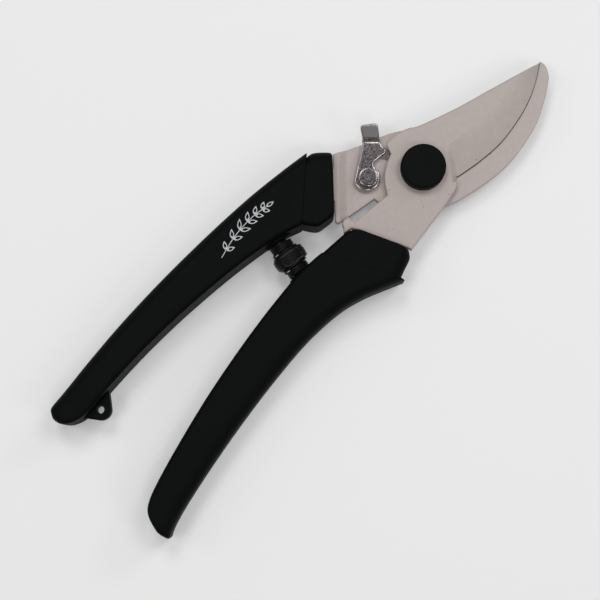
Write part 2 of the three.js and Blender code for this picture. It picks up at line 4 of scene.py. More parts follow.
import bmesh
import bpy
from mathutils import Matrix, Vector
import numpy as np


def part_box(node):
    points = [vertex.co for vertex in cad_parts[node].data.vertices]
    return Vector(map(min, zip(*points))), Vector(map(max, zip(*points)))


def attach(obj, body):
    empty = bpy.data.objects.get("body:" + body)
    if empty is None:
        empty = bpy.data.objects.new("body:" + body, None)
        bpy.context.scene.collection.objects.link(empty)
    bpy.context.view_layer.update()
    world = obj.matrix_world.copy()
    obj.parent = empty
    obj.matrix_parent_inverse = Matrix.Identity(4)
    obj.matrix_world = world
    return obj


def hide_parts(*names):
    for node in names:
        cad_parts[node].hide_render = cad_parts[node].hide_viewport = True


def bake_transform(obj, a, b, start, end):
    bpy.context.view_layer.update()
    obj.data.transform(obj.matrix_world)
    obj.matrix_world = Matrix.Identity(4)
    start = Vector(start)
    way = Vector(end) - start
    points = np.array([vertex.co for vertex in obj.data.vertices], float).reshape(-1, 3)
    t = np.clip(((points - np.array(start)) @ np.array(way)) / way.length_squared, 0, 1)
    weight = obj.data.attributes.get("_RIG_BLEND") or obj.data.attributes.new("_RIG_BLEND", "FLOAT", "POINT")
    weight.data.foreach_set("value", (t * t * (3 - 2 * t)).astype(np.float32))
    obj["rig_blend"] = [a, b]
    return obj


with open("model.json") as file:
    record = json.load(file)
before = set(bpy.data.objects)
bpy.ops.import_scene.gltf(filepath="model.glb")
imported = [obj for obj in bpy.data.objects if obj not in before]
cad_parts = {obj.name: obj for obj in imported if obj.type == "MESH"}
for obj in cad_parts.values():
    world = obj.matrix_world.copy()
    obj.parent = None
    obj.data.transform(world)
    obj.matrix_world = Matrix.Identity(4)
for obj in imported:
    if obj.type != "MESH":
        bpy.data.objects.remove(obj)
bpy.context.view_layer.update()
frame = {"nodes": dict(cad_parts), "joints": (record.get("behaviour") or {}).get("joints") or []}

MM = 0.001
X, Y, Z = 0, 1, 2


# ---- what the frame says

def reach(node, axis):
    """The lowest and highest place of a CAD node along one axis, in millimetres."""
    low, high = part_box(node)
    return low[axis] / MM, high[axis] / MM


def radius_of(node):
    low, high = reach(node, Y)
    return (high - low) / 2


HOOK_BOTTOM, TANG_TOP = reach("counter_blade", Z)
PLATES_MEET, BLADE_TOP = reach("cutting_blade", Z)
HOOK_THICKNESS = PLATES_MEET - HOOK_BOTTOM
JOGGLE = TANG_TOP - PLATES_MEET
GRIP_TOP = reach("hook_handle_grip", Z)[1]
HALF_GRIP = GRIP_TOP - PLATES_MEET
BLADE_REACH = reach("cutting_blade", X)[1]
LOCK_JOINT = next(joint for joint in frame["joints"] if joint["name"] == "lock_pivot")
LEVER_PIVOT = Vector([value / MM for value in LOCK_JOINT["pos_m"][:2]])
LEVER_BOTTOM = reach("lock_lever", Z)[0]
RIVET_TAIL, RIVET_TOP = reach("lock_rivet", Z)
RIVET_HEAD_RADIUS = radius_of("lock_rivet")
CAP_LOW, CAP_TOP = reach("pivot_cap", Z)
CAP_RADIUS = radius_of("pivot_cap")
NUT_CAP_LOW, NUT_CAP_HIGH = reach("nut_cap", Z)
NUT_CAP_RADIUS = radius_of("nut_cap")

# ---- sizes that the CAD part has too

GRIP_WALL = 2.4
OUTER_SHOULDER = 4.5
INNER_SHOULDER = 1.6
COLLAR_STEP = 0.5
GRIP_LIP = 1.3
COLLAR_BEVEL = 1.2
CORE_REACH = 0.84
CAVITY_REACH = 0.86
TANG_WIDTH = 11
TANG_TIP_WIDTH = 8
TANG_PIN_RADIUS = 1.5
TAB_THICKNESS = 4.8
TAB_ROOT_THICKNESS = 4
TAB_RADIUS = 3.4
LANYARD_HOLE_RADIUS = 1.25
PIVOT_BORE = 4.1
BLADE_BORE = 5.35
RIVET_RADIUS = 1.7
BOSS_RADIUS = 14.4
HOOK_OVERLAP = 2.2
HOOK_TIP_BEYOND = 1
CLOSING_STOP_GAP = 0.15
CAP_WALL = 0.9
LEVER_THICKNESS = 2
LEVER_NOSE_THICKNESS = 1
LEVER_HEEL_RADIUS = 4.5
LEVER_HEEL_OFFSET = 0.5
LEVER_HEADING = 45
BURR_THICKNESS = 0.7
LEVER_TOP = LEVER_BOTTOM + LEVER_THICKNESS
NOSE_TOP = LEVER_BOTTOM + LEVER_NOSE_THICKNESS
FIT_GAP = 0.3
PIN_GAP = 0.1

SPRING_MIDDLE = Vector((-51.7, 10, PLATES_MEET))
SPRING_LEAN = radians(9.7)
SPRING_AXIS = Vector((-sin(SPRING_LEAN), -cos(SPRING_LEAN), 0))
SPRING_LENGTH = 12
SPRING_END_RADIUS = 4
SPRING_MIDDLE_RADIUS = 6
PEG_RADIUS = 2.4
PEG_LENGTH = 4
SEAT_RADIUS = 4.6
SEAT_FACE = SPRING_LENGTH / 2 + FIT_GAP
SEAT_ROOT = SEAT_FACE + GRIP_WALL + 3.2

# ---- finish sizes that only show here

PLATE_EDGE = 0.3  # rounding of the stamped plates
BLADE_TOP_EDGE = 0.55
EDGE_THICKNESS = 0.15  # of the steel left at the ground cutting edge
EDGE_BEVEL = 0.36  # width of the steep last bevel along the cutting edge
EDGE_BEVEL_TOP = 0.9  # thickness of the blade where that bevel starts
RUN_OUT = 2.4  # widest part of the ramp where the grinding of the blade starts
NOSE_REACH = 11  # inner radius of the relief that the catch's thin nose passes through
SHOULDER_REACH = 12.9  # and of the relief for the catch's full thickness
RIM_GAP = 0.15
LEVER_EDGE = 0.6
LEVER_BOTTOM_EDGE = 0.2
NOSE_EDGE = 0.12
TAB_RISE = 1.2  # of the bend that lifts the thumb tab off the catch
TAB_SLOPE = 0.62  # of the thumb tab beyond that bend
DIMPLE_RADIUS = 0.5
DIMPLE_DEPTH = 0.1
CAP_EDGE = 0.7
TAB_EDGE = 0.5
HARDWARE_EDGE = 0.08
WIRE_RADIUS = 0.33
WIRE_SIDES = 10
SPRING_TURNS = 14.5
END_TURNS = 3.2  # turns in each of the spring's narrow ends
TAIL_ROUND = 1.2
LIP_ROUND = 0.35
LEAST_ROUND = 0.4  # of a handle's corners, however thin it gets
PRINT_LINE = 0.27
PRINT_LOW, PRINT_HIGH = GRIP_TOP - 0.01, GRIP_TOP + 0.03

# A handle's stations from its collar to its tail: the outer edge's place and the inner edge's,
# as [share of the grip's length, Y] for a grip and [X, Y] for a collar.
THUMB_HANDLE = {
    "start": -23.7,
    "length": 119.5,
    "collar": [[(-17.4, 24.7), (-31.9, 9.3)], [(-20.1, 27.5), (-35.5, 9.7)], [(-22.4, 29.2), (-38.8, 10.6)]],
    "grip": [
        [(0, 30.6), (0.155, 14.4)], [(0.08, 31.9), (0.21, 16.6)],
        [(0.2, 33.3), (0.31, 18.8)], [(0.35, 34), (0.43, 20.4)],
        [(0.52, 34), (0.57, 21.4)], [(0.68, 33.2), (0.71, 21.5)],
        [(0.82, 31.7), (0.83, 20.8)], [(0.91, 30.4), (0.92, 19.9)],
        [(0.955, 29.8), (0.965, 20.9)], [(0.98, 29.3), (0.99, 23.2)],
        [(0.99, 28.5), (1, 26.3)],
    ],
    "tang": [(-24.2, 17.2), (-38, 27), (-64, 27.4)],
}
FINGER_HANDLE = {
    "start": -31,
    "length": 113.2,
    "collar": [[(-22.5, -15.4), (-29.8, 0.5)], [(-24.4, -18), (-33, 2.3)], [(-28, -19.4), (-38, 2.8)]],
    "grip": [
        [(0, -21.9), (0.115, 3.4)], [(0.055, -19.2), (0.15, 3.7)],
        [(0.12, -16.3), (0.2, 3.8)], [(0.2, -14.2), (0.26, 3.3)],
        [(0.32, -13.6), (0.37, 1.8)], [(0.46, -14.9), (0.5, -0.6)],
        [(0.61, -17.2), (0.64, -3.8)], [(0.76, -20.2), (0.78, -7.8)],
        [(0.88, -23.1), (0.89, -11.4)], [(0.94, -24.9), (0.955, -14.2)],
        [(0.97, -26.1), (0.985, -17.2)], [(0.985, -26.9), (1, -22.5)],
        [(0.993, -27.1), (1, -25)],
    ],
    "tang": [(-25.5, -7.7), (-44, -6.4), (-66, -5.6)],
}
PIN_SHARES = (0.42, 0.86)


# ---- curves and outlines

def spline(places, t):
    """A place on the smooth curve through a row of places; t runs from 0 to 1."""
    along = t * (len(places) - 1)
    i = min(int(along), len(places) - 2)
    w = along - i
    start, end = places[i], places[i + 1]
    leave = (end - places[max(i - 1, 0)]) / 2
    arrive = (places[min(i + 2, len(places) - 1)] - start) / 2
    cubic = 2 * start - 2 * end + leave + arrive
    square = 3 * end - 3 * start - 2 * leave - arrive
    return cubic * w ** 3 + square * w ** 2 + leave * w + start


def shares(steps):
    """0 to 1 in equal steps."""
    return [i / steps for i in range(steps + 1)]


def quadratic(start, pull, end, t):
    return start * (1 - t) ** 2 + pull * 2 * t * (1 - t) + end * t ** 2


def vectors(places):
    return [Vector(place) for place in places]


def polar(radius, heading):
    angle = radians(heading)
    return Vector((radius * cos(angle), radius * sin(angle)))


def left_of(direction):
    return Vector((-direction.y, direction.x))


def smooth(value, start, end):
    """0 before start, 1 after end, and a smooth rise between them."""
    t = min(max((value - start) / (end - start), 0), 1)
    return t * t * (3 - 2 * t)


class Outline:
    """A closed flat outline, drawn step by step."""

    def __init__(self, x, y):
        self.places = [Vector((x, y))]

    def line(self, x, y):
        self.places.append(Vector((x, y)))
        return self

    def curve(self, *places, steps=10):
        through = [self.places[-1], *vectors(places)]
        count = steps * (len(through) - 1)
        self.places += [spline(through, t) for t in shares(count)[1:]]
        return self

    def pull(self, pull, end, steps=10):
        start, pull, end = self.places[-1], Vector(pull), Vector(end)
        self.places += [quadratic(start, pull, end, t) for t in shares(steps)[1:]]
        return self

    def arc(self, centre, radius, start, end, steps=24):
        turn = (end - start) / steps
        self.places += [Vector(centre) + polar(radius, start + turn * i) for i in range(steps + 1)]
        return self


def circle(centre, radius, steps=64):
    return [Vector(centre) + polar(radius, 360 * i / steps) for i in range(steps)]


def signed_area(places):
    return sum(a.x * b.y - b.x * a.y for a, b in zip(places, places[1:] + places[:1])) / 2


def without_repeats(places, least=0.02):
    return [place for i, place in enumerate(places) if (place - places[i - 1]).length > least]


def inset(places, distance):
    """The loop moved to its own left by a distance, which is inward on a counterclockwise loop."""
    moved = []
    for i, place in enumerate(places):
        before = left_of((place - places[i - 1]).normalized())
        after = left_of((places[(i + 1) % len(places)] - place).normalized())
        miter = (before + after) / max(1 + before.dot(after), 0.6)
        moved.append(place + miter * distance)
    return moved


# ---- meshes

def add_object(name, data):
    made = bpy.data.objects.new(name, data)
    bpy.context.scene.collection.objects.link(made)
    return made


def to_object(name, mesh_maker, *arguments, **options):
    """Runs a function that fills a bmesh in millimetres and makes its result an object in the scene."""
    bm = bmesh.new()
    mesh_maker(bm, *arguments, **options)
    bmesh.ops.recalc_face_normals(bm, faces=bm.faces)
    mesh = bpy.data.meshes.new(name)
    bm.to_mesh(mesh)
    bm.free()
    return add_object(name, mesh)


def quarter(edge, steps):
    """A rounded edge as (inset, depth) pairs, from the side to the face."""
    if not edge:
        return [(0, 0)]
    angles = [pi / 2 * i / steps for i in range(steps + 1)]
    return [(edge * (1 - cos(angle)), edge * (1 - sin(angle))) for angle in angles]


def skin(bm, rows):
    """Quads between rows of vertices that each go round a loop."""
    for low, high in zip(rows, rows[1:]):
        for i in range(len(low)):
            j = (i + 1) % len(low)
            bm.faces.new((low[i], low[j], high[j], high[i]))


def ring_edges(bm, row):
    return [bm.edges.get((row[i - 1], row[i])) for i in range(len(row))]


def prism(bm, outline, low, high, top_edge=0.0, bottom_edge=0.0, holes=(), steps=3):
    """A plate between two heights with rounded edges, and holes as lists of places."""
    loops = [(outline, 1), *[(hole, -1) for hole in holes]]
    heights = [(d, low + depth) for d, depth in reversed(quarter(bottom_edge, steps))]
    heights += [(d, high - depth) for d, depth in quarter(top_edge, steps)]
    bottom, top = [], []
    for places, turn in loops:
        loop = without_repeats(places)
        if signed_area(loop) * turn < 0:
            loop.reverse()
        rows = []
        for distance, z in heights:
            moved = inset(loop, distance) if distance else loop
            rows.append([bm.verts.new((place.x, place.y, z)) for place in moved])
        skin(bm, rows)
        bottom += ring_edges(bm, rows[0])
        top += ring_edges(bm, rows[-1])
    bmesh.ops.triangle_fill(bm, use_beauty=True, edges=bottom, normal=(0, 0, -1))
    bmesh.ops.triangle_fill(bm, use_beauty=True, edges=top, normal=(0, 0, 1))


def loft(bm, sections):
    """A closed skin over a row of sections, each a loop of the same number of places."""
    rows = [[bm.verts.new(place) for place in section] for section in sections]
    skin(bm, rows)
    bm.faces.new(reversed(rows[0]))
    bm.faces.new(rows[-1])


def lathe(bm, profile, centre=(0, 0, 0), axis=(0, 0, 1), sides=72):
    """A closed profile of (radius, height) pairs turned about an axis."""
    turn = Vector((0, 0, 1)).rotation_difference(Vector(axis)).to_matrix()
    rows = []
    for radius, height in profile:
        if radius < 1e-6:
            rows.append([bm.verts.new(Vector(centre) + turn @ Vector((0, 0, height)))])
            continue
        ring = [polar(radius, 360 * i / sides) for i in range(sides)]
        rows.append([bm.verts.new(Vector(centre) + turn @ Vector((p.x, p.y, height))) for p in ring])
    for low, high in zip(rows, rows[1:] + rows[:1]):
        for i in range(sides):
            corners = [row[k % len(row)] for row, k in ((low, i), (low, i + 1), (high, i + 1), (high, i))]
            corners = [corner for k, corner in enumerate(corners) if corner is not corners[k - 1]]
            if len(corners) > 2:
                bm.faces.new(corners)


def rounded(profile, radius=0.3, steps=4, keep=()):
    """A lathe profile with its corners rounded, except those on the axis and those in keep."""
    result = []
    for i, place in enumerate(profile):
        here = Vector(place)
        to_last = Vector(profile[i - 1]) - here
        to_next = Vector(profile[(i + 1) % len(profile)]) - here
        if place[0] < 1e-6 or i in keep:
            result.append(here)
            continue
        cut = min(radius, to_last.length * 0.45, to_next.length * 0.45)
        start, end = here + to_last.normalized() * cut, here + to_next.normalized() * cut
        result += [quadratic(start, here, end, t) for t in shares(steps)]
    return result


def combine(piece, other, operation):
    """Joins another solid to a piece or cuts it away, and removes the other."""
    modifier = piece.modifiers.new("combine", "BOOLEAN")
    modifier.operation = operation
    modifier.solver = "EXACT"
    modifier.object = other
    shown = bpy.context.evaluated_depsgraph_get()
    mesh = bpy.data.meshes.new_from_object(piece.evaluated_get(shown))
    piece.modifiers.clear()
    piece.data = mesh
    bpy.data.objects.remove(other)


def cut(piece, mesh_maker, *arguments, **options):
    combine(piece, to_object("cutter", mesh_maker, *arguments, **options), "DIFFERENCE")


def join(piece, mesh_maker, *arguments, **options):
    combine(piece, to_object("addition", mesh_maker, *arguments, **options), "UNION")


def reshape(piece, move, lines=()):
    """Cuts a mesh along upright planes, each (place, direction), and then moves its vertices."""
    bm = bmesh.new()
    bm.from_mesh(piece.data)
    for place, direction in lines:
        everything = bm.verts[:] + bm.edges[:] + bm.faces[:]
        bmesh.ops.bisect_plane(bm, geom=everything, dist=1e-5, plane_co=place, plane_no=direction)
    for vertex in bm.verts:
        vertex.co = move(vertex.co)
    bm.to_mesh(piece.data)
    bm.free()


def shade(piece, crease=32):
    """Smooth shading, with sharp edges at creases and round every flat upward or downward face."""
    bm = bmesh.new()
    bm.from_mesh(piece.data)
    bmesh.ops.remove_doubles(bm, verts=bm.verts, dist=1e-4)
    bmesh.ops.dissolve_degenerate(bm, edges=bm.edges, dist=1e-4)
    flat = {face for face in bm.faces if abs(face.normal.z) > 0.99999}
    for face in bm.faces:
        face.smooth = True
    for edge in bm.edges:
        if len(edge.link_faces) != 2:
            continue
        a, b = edge.link_faces
        leaves_flat = (a in flat) != (b in flat)
        edge.smooth = not (leaves_flat or edge.calc_face_angle(0) > radians(crease))
    bm.to_mesh(piece.data)
    bm.free()


def finish_piece(piece, body, slot, material, *nodes):
    """Shades a piece, turns it from millimetres into metres and hands it to the frame."""
    shade(piece)
    piece.data.transform(Matrix.Scale(MM, 4))
    piece.data.materials.clear()
    piece.data.materials.append(material)
    if body:
        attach(piece, body)
    if nodes:
        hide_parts(*nodes)


# ---- handles

def edge_of(handle, side):
    """The outer (0) or inner (1) edge of a grip, as a row of places."""
    start, length = handle["start"], handle["length"]
    return [Vector((start - station[side][0] * length, station[side][1])) for station in handle["grip"]]


def moved_forward(outer, inner, distance):
    along = (outer - inner).normalized()
    forward = Vector((abs(along.y), -copysign(1, along.y) * along.x)) * distance
    return outer + forward, inner + forward


def plate_end(handle):
    """The ends of the line where a plate's tang comes out of its collar."""
    outer, inner = handle["collar"][0]
    return moved_forward(Vector(outer), Vector(inner), FIT_GAP)


def collar_edges(handle):
    """The outer and inner edges of a collar, which ends just in front of its grip's lip."""
    outer, inner = edge_of(handle, 0)[0], edge_of(handle, 1)[0]
    along = (inner - outer).normalized()
    back = moved_forward(outer + along * GRIP_LIP, inner - along * COLLAR_STEP, FIT_GAP)
    return [[*vectors(edge), back[side]] for side, edge in enumerate(zip(*handle["collar"]))]


def section(outer, inner, half, inward, outer_steps=12, inner_steps=6, rim=0.25):
    """One upright section of a handle between an outer and an inner edge, with rounded corners."""
    across = inner - outer
    width = across.length - 2 * inward
    across.normalize()
    height = half - inward
    most = min(width * 0.45, height * 0.9)
    outer_round = max(min(OUTER_SHOULDER - inward, most), LEAST_ROUND)
    inner_round = max(min(INNER_SHOULDER - inward, most), LEAST_ROUND)
    corners = [
        (outer_round, outer_round - height, outer_round, 180, outer_steps),
        (width - inner_round, inner_round - height, inner_round, 270, inner_steps),
        (width - inner_round, height - inner_round, inner_round, 0, inner_steps),
        (outer_round, height - outer_round, outer_round, 90, outer_steps),
    ]
    loop = []
    for along, up, radius, start, steps in corners:
        spots = [Vector((along, up)) + polar(radius, start + 90 * i / steps) for i in range(steps + 1)]
        loop += [spots[0] + polar(rim, start - 90), *spots, spots[-1] + polar(rim, start + 180)]
    places = []
    for spot in loop:
        along = inward + spot.x
        places.append(Vector((outer.x + across.x * along, outer.y + across.y * along, PLATES_MEET + spot.y)))
    return places


def grip_half(t, taper_start=0.75, taper=0.4):
    """Half the grip's thickness, drawn in over its tail."""
    along = max(0, (t - taper_start) / (1 - taper_start))
    return HALF_GRIP * (1 - taper * along ** 3)


def grip_sections(handle, start, end, inward, steps):
    """Sections of a grip between two shares of its stations, drawn in by a distance."""
    outer, inner = edge_of(handle, 0), edge_of(handle, 1)
    sections = []
    for i in range(steps + 1):
        t = start + (end - start) * i / steps
        sections.append(section(spline(outer, t), spline(inner, t), grip_half(t), inward))
    return sections


def middle_of(loop):
    return sum(loop, Vector((0, 0, 0))) / len(loop)


def rounded_front(sections, distance, steps=4):
    """Sections with the first one rounded off forwards."""
    first = sections[0]
    middle = middle_of(first)
    ahead = (middle - middle_of(sections[2])).normalized()
    front = []
    for k in range(steps, 0, -1):
        angle = pi / 2 * k / steps
        pull, push = distance * (1 - cos(angle)), distance * sin(angle)
        front.append([place + (middle - place).normalized() * pull + ahead * push for place in first])
    return [*front, *sections]


def rounded_tail(sections, radius):
    """Sections whose last ones are drawn in towards their middles, so that the tail is round."""
    middles = [middle_of(loop) for loop in sections]
    result = []
    for loop, middle in zip(sections, middles):
        inside = max(radius - (middles[-1] - middle).length, 0)
        pull = radius - sqrt(radius ** 2 - inside ** 2)
        result.append([place.lerp(middle, min(pull / (middle - place).length, 0.8)) for place in loop])
    return result


def inner_body(handle, inward, end, collar_share=0.6, steps=70):
    """The part of a handle inside its sleeve, from within the collar to near the tail."""
    outer, inner = collar_edges(handle)
    lead = section(spline(outer, collar_share), spline(inner, collar_share), HALF_GRIP, inward)
    return [lead, *grip_sections(handle, 0, end, inward, steps)]


def collar_sections(handle, bevel_share=0.12, steps=24):
    """Sections of a collar, with a rounded bevel over the first share of its length."""
    outer, inner = collar_edges(handle)
    half = HALF_GRIP - COLLAR_STEP
    bevel = reversed(quarter(COLLAR_BEVEL, 5))
    rows = [(bevel_share * depth / COLLAR_BEVEL, pull) for pull, depth in bevel]
    rows += [(bevel_share + (1 - bevel_share) * i / steps, 0) for i in range(1, steps + 1)]
    return [section(spline(outer, t), spline(inner, t), half, pull) for t, pull in rows]


def tang_strip(handle, grow, steps=24):
    """The tang's flat outline: a tapered strip along a curve with a round far end."""
    curve = vectors(handle["tang"])
    left, right = [], []
    for t in shares(steps):
        ahead = quadratic(*curve, min(t + 0.01, 1)) - quadratic(*curve, max(t - 0.01, 0))
        side = left_of(ahead.normalized())
        half = (TANG_WIDTH + (TANG_TIP_WIDTH - TANG_WIDTH) * t) / 2 + grow
        middle = quadratic(*curve, t)
        left.append(middle + side * half)
        right.insert(0, middle - side * half)
    heading = degrees(atan2(ahead.y, ahead.x))
    radius = TANG_TIP_WIDTH / 2 + grow
    tip = [curve[2] + polar(radius, heading + angle) for angle in range(80, -90, -10)]
    return [*left, *tip, *right]


def tang_behind(handle):
    """A tang's outline behind its plate's end, from the outer side round to the inner."""
    outer, inner = plate_end(handle)
    back = -(moved_forward(outer, inner, 1)[0] - outer)
    strip = reversed(tang_strip(handle, 0))
    behind = [place for place in strip if (place - inner).dot(back) > FIT_GAP]
    feet = [place - back * (place - inner).dot(back) for place in (behind[0], behind[-1])]
    loop = [feet[0], *behind, feet[1]]
    return loop if (loop[0] - outer).length < (loop[0] - inner).length else loop[::-1]


def cut_pin_holes(piece, handle):
    curve = vectors(handle["tang"])
    for share in PIN_SHARES:
        hole = circle(quadratic(*curve, share), TANG_PIN_RADIUS + PIN_GAP, 32)
        cut(piece, prism, hole, 0, GRIP_TOP)


def mirrored(profile, side):
    """A lathe profile, turned end for end when side is negative."""
    return profile if side > 0 else [(radius, -height) for radius, height in reversed(profile)]


def seat_profile(side):
    """The seat and peg that a core holds out to the spring."""
    peg_end = SEAT_FACE - PEG_LENGTH
    return rounded(mirrored([
        (0, peg_end), (PEG_RADIUS, peg_end), (PEG_RADIUS, SEAT_FACE),
        (SEAT_RADIUS, SEAT_FACE), (SEAT_RADIUS, SEAT_ROOT), (0, SEAT_ROOT),
    ], side))


def seat_hole_profile(side):
    radius, front = SEAT_RADIUS + FIT_GAP, SEAT_FACE - 2
    return mirrored([(0, front), (radius, front), (radius, SEAT_ROOT), (0, SEAT_ROOT)], side)


def handle_core(name, handle, slot_low, slot_high, side):
    core = to_object(name, loft, collar_sections(handle))
    join(core, loft, inner_body(handle, GRIP_WALL + FIT_GAP, CORE_REACH))
    join(core, lathe, seat_profile(side), SPRING_MIDDLE, SPRING_AXIS)
    cut(core, prism, tang_strip(handle, FIT_GAP), slot_low - FIT_GAP, slot_high + FIT_GAP)
    cut_pin_holes(core, handle)
    return core


def handle_grip(name, handle, side, body_end=0.97, tail_start=0.972):
    """The soft sleeve of a handle, with finer sections over its tail."""
    sections = grip_sections(handle, 0, body_end, 0, 145) + grip_sections(handle, tail_start, 1, 0, 24)
    grip = to_object(name, loft, rounded_front(rounded_tail(sections, TAIL_ROUND), LIP_ROUND))
    cut(grip, loft, inner_body(handle, GRIP_WALL, CAVITY_REACH))
    cut(grip, lathe, seat_hole_profile(side), SPRING_MIDDLE, SPRING_AXIS)
    return grip


LANYARD_HOLE_SHARE = 0.891
LANYARD_HOLE = Vector((THUMB_HANDLE["start"] - LANYARD_HOLE_SHARE * THUMB_HANDLE["length"], 18.1))


def tab_outline(grow, half_base=8, base_side=5):
    """The lanyard tab: a round end about its hole, and a wide base inside the sleeve."""
    x, y = LANYARD_HOLE
    outline = Outline(x + half_base + grow, y + base_side).line(x - half_base - grow, y + base_side)
    return outline.arc(LANYARD_HOLE, TAB_RADIUS + grow, 215, 322).places


def tab_heights(thickness, grow=0.0):
    return PLATES_MEET - thickness / 2 - grow, PLATES_MEET + thickness / 2 + grow


def make_handles(soft, hard):
    thumb_core = handle_core("hook_core", THUMB_HANDLE, TANG_TOP - HOOK_THICKNESS, TANG_TOP, -1)
    tab = to_object("tab", prism, tab_outline(0), *tab_heights(TAB_THICKNESS), TAB_EDGE, TAB_EDGE)
    cut(tab, loft, grip_sections(THUMB_HANDLE, 0, 1, -FIT_GAP, 60))
    combine(thumb_core, tab, "UNION")
    join(thumb_core, prism, tab_outline(0), *tab_heights(TAB_ROOT_THICKNESS))
    cut(thumb_core, prism, circle(LANYARD_HOLE, LANYARD_HOLE_RADIUS, 40), 0, GRIP_TOP)
    finish_piece(thumb_core, "hook_side", "hard_plastic", hard, "hook_handle_core")

    thumb_grip = handle_grip("hook_grip", THUMB_HANDLE, -1)
    cut(thumb_grip, prism, tab_outline(FIT_GAP), *tab_heights(TAB_ROOT_THICKNESS, FIT_GAP))
    finish_piece(thumb_grip, "hook_side", "soft_grip", soft, "hook_handle_grip")

    finger_core = handle_core("blade_core", FINGER_HANDLE, PLATES_MEET, BLADE_TOP, 1)
    finish_piece(finger_core, "blade_side", "hard_plastic", hard, "blade_handle_core")
    finger_grip = handle_grip("blade_grip", FINGER_HANDLE, 1)
    finish_piece(finger_grip, "blade_side", "soft_grip", soft, "blade_handle_grip")


# ---- plates

HEEL = Vector((6.7, -10.2))
BOSS_START, BOSS_END = 61, 101  # degrees, the arc of the blade plate's edge that follows its boss
JOGGLE_HEADING = 135
JOGGLE_START, JOGGLE_END = 24.2, 28.1  # distances from the pivot along that heading


def along_blade(share):
    return HEEL.x + (BLADE_REACH - HEEL.x) * share


def on_blade(*rows):
    """Places given as the share of the way from the heel to the tip, and Y."""
    return [Vector((along_blade(share), y)) for share, y in rows]


TIP = Vector((BLADE_REACH, -2.5))
CUTTING_EDGE = [HEEL, *on_blade((0.19, -11.7), (0.4, -12.2), (0.64, -10.4), (0.83, -7.2)), TIP]
GRIND_LINE = [
    Vector((12.3, -0.5)),
    *on_blade((0.35, -2.2), (0.6, -1.4), (0.82, 0.4)),
    Vector((BLADE_REACH - 0.8, 0.8)),
]


def blade_outline():
    outer, inner = plate_end(FINGER_HANDLE)
    stop = CLOSING_STOP_GAP
    outline = Outline(*TIP)
    boss_start = polar(BOSS_RADIUS, BOSS_START)
    outline.curve(*on_blade((0.6, 2.9), (0.35, 6.2)), (10.5, 10.6), boss_start)
    outline.arc((0, 0), BOSS_RADIUS, BOSS_START, BOSS_END)
    outline.line(-3.8, 10.9).curve((-7.4, 9.4), (-11.3, 6.6), (-14.6, 2))
    outline.line(-28.5, 3.3).line(-28.7, 6.1 - stop).line(-30.6, 6.5 - stop)
    outline.pull((-32, 6), (-32.4, 4.6)).line(-33.6, 3.1)
    outline.line(inner.x - 1.2, inner.y + 1.8).line(*inner)
    outline.places += [*reversed(tang_behind(FINGER_HANDLE)), outer]
    outline.line(outer.x + 0.4, outer.y - 1.2).curve((-13.4, -15.3), (-4, -14), (1.5, -12.9))
    outline.pull((4.6, -12.6), (5.2, -10.2)).line(*HEEL)
    outline.places += [spline(CUTTING_EDGE, t) for t in shares(60)[1:-1]]
    return outline.places


def hook_outline():
    outer, inner = plate_end(THUMB_HANDLE)
    tip = BLADE_REACH + HOOK_TIP_BEYOND
    outline = Outline(*outer)
    outline.places += [*tang_behind(THUMB_HANDLE), inner]
    outline.pull((-33.7, 7.2), (-31.6, 6.7)).line(-17.9, 4.4)
    outline.pull((-17.2, -9.5), (-3.5, -14))
    below = on_blade((0.19, -18.5), (0.4, -18.6), (0.64, -16.4), (0.83, -12.3), (0.97, -8))
    outline.curve((4.2, -16.4), *below)
    outline.pull((tip + 0.6, -4.6), (tip - 0.4, -2.1))
    outline.curve(*hook_inner_edge(), steps=4)
    outline.curve(polar(BOSS_RADIUS + 0.6, -20), polar(BOSS_RADIUS, 10), polar(BOSS_RADIUS, 40), (7.6, 12.4))
    outline.curve((1.2, 16.4), (-8.2, 20.3), tuple(outer))
    return outline.places


def hook_inner_edge(tip_share=0.93, covered=0.71, steps=12):
    """The hook's inner edge beside the closed cutting edge, from the tip to the heel."""
    places = []
    for i in range(steps + 1):
        t = tip_share - covered * i / steps
        a, b = spline(CUTTING_EDGE, t - 0.005), spline(CUTTING_EDGE, t + 0.005)
        places.append((a + b) / 2 + left_of((b - a).normalized()) * HOOK_OVERLAP)
    return places


def ground_section(t, run_out, steps=12, overhang=1.5):
    """A section of what grinding takes off the blade: the main face and the last bevel, under a lid."""
    line, edge = spline(GRIND_LINE, t), spline(CUTTING_EDGE, t)
    width = (edge - line).length
    across = (edge - line) / width
    full = BLADE_TOP - PLATES_MEET
    hollow = 1 + 0.35 * smooth(t, 0, 0.3)
    floor = []
    for share in shares(steps):
        depth = (full - EDGE_BEVEL_TOP) * share ** hollow
        floor.append((line + across * (width - EDGE_BEVEL) * share, depth))
    floor += [(edge, full - EDGE_THICKNESS), (edge + across * overhang, full - EDGE_THICKNESS)]
    lid = BLADE_TOP + 1
    places = [Vector((place.x, place.y, BLADE_TOP - depth * run_out)) for place, depth in floor]
    return [*places, Vector((*floor[-1][0], lid)), Vector((*line, lid))]


def grind_wedge(ramp_steps=4, steps=60):
    """The ground-off volume, which runs out in a short ramp beside the boss."""
    line, edge = GRIND_LINE[0], CUTTING_EDGE[0]
    back = left_of((edge - line).normalized()).to_3d() * -1
    ramp = []
    for k in range(ramp_steps):
        level = ground_section(0, smooth(k / ramp_steps, -0.2, 1.1))
        shift = back * ((1 - k / ramp_steps) * RUN_OUT)
        spans = [(place.xy - line).length / (edge - line).length for place in level]
        ramp.append([place + shift * min(0.3 + 0.7 * span, 1.05) for place, span in zip(level, spans)])
    return [*ramp, *[ground_section(t, 1) for t in shares(steps)]]


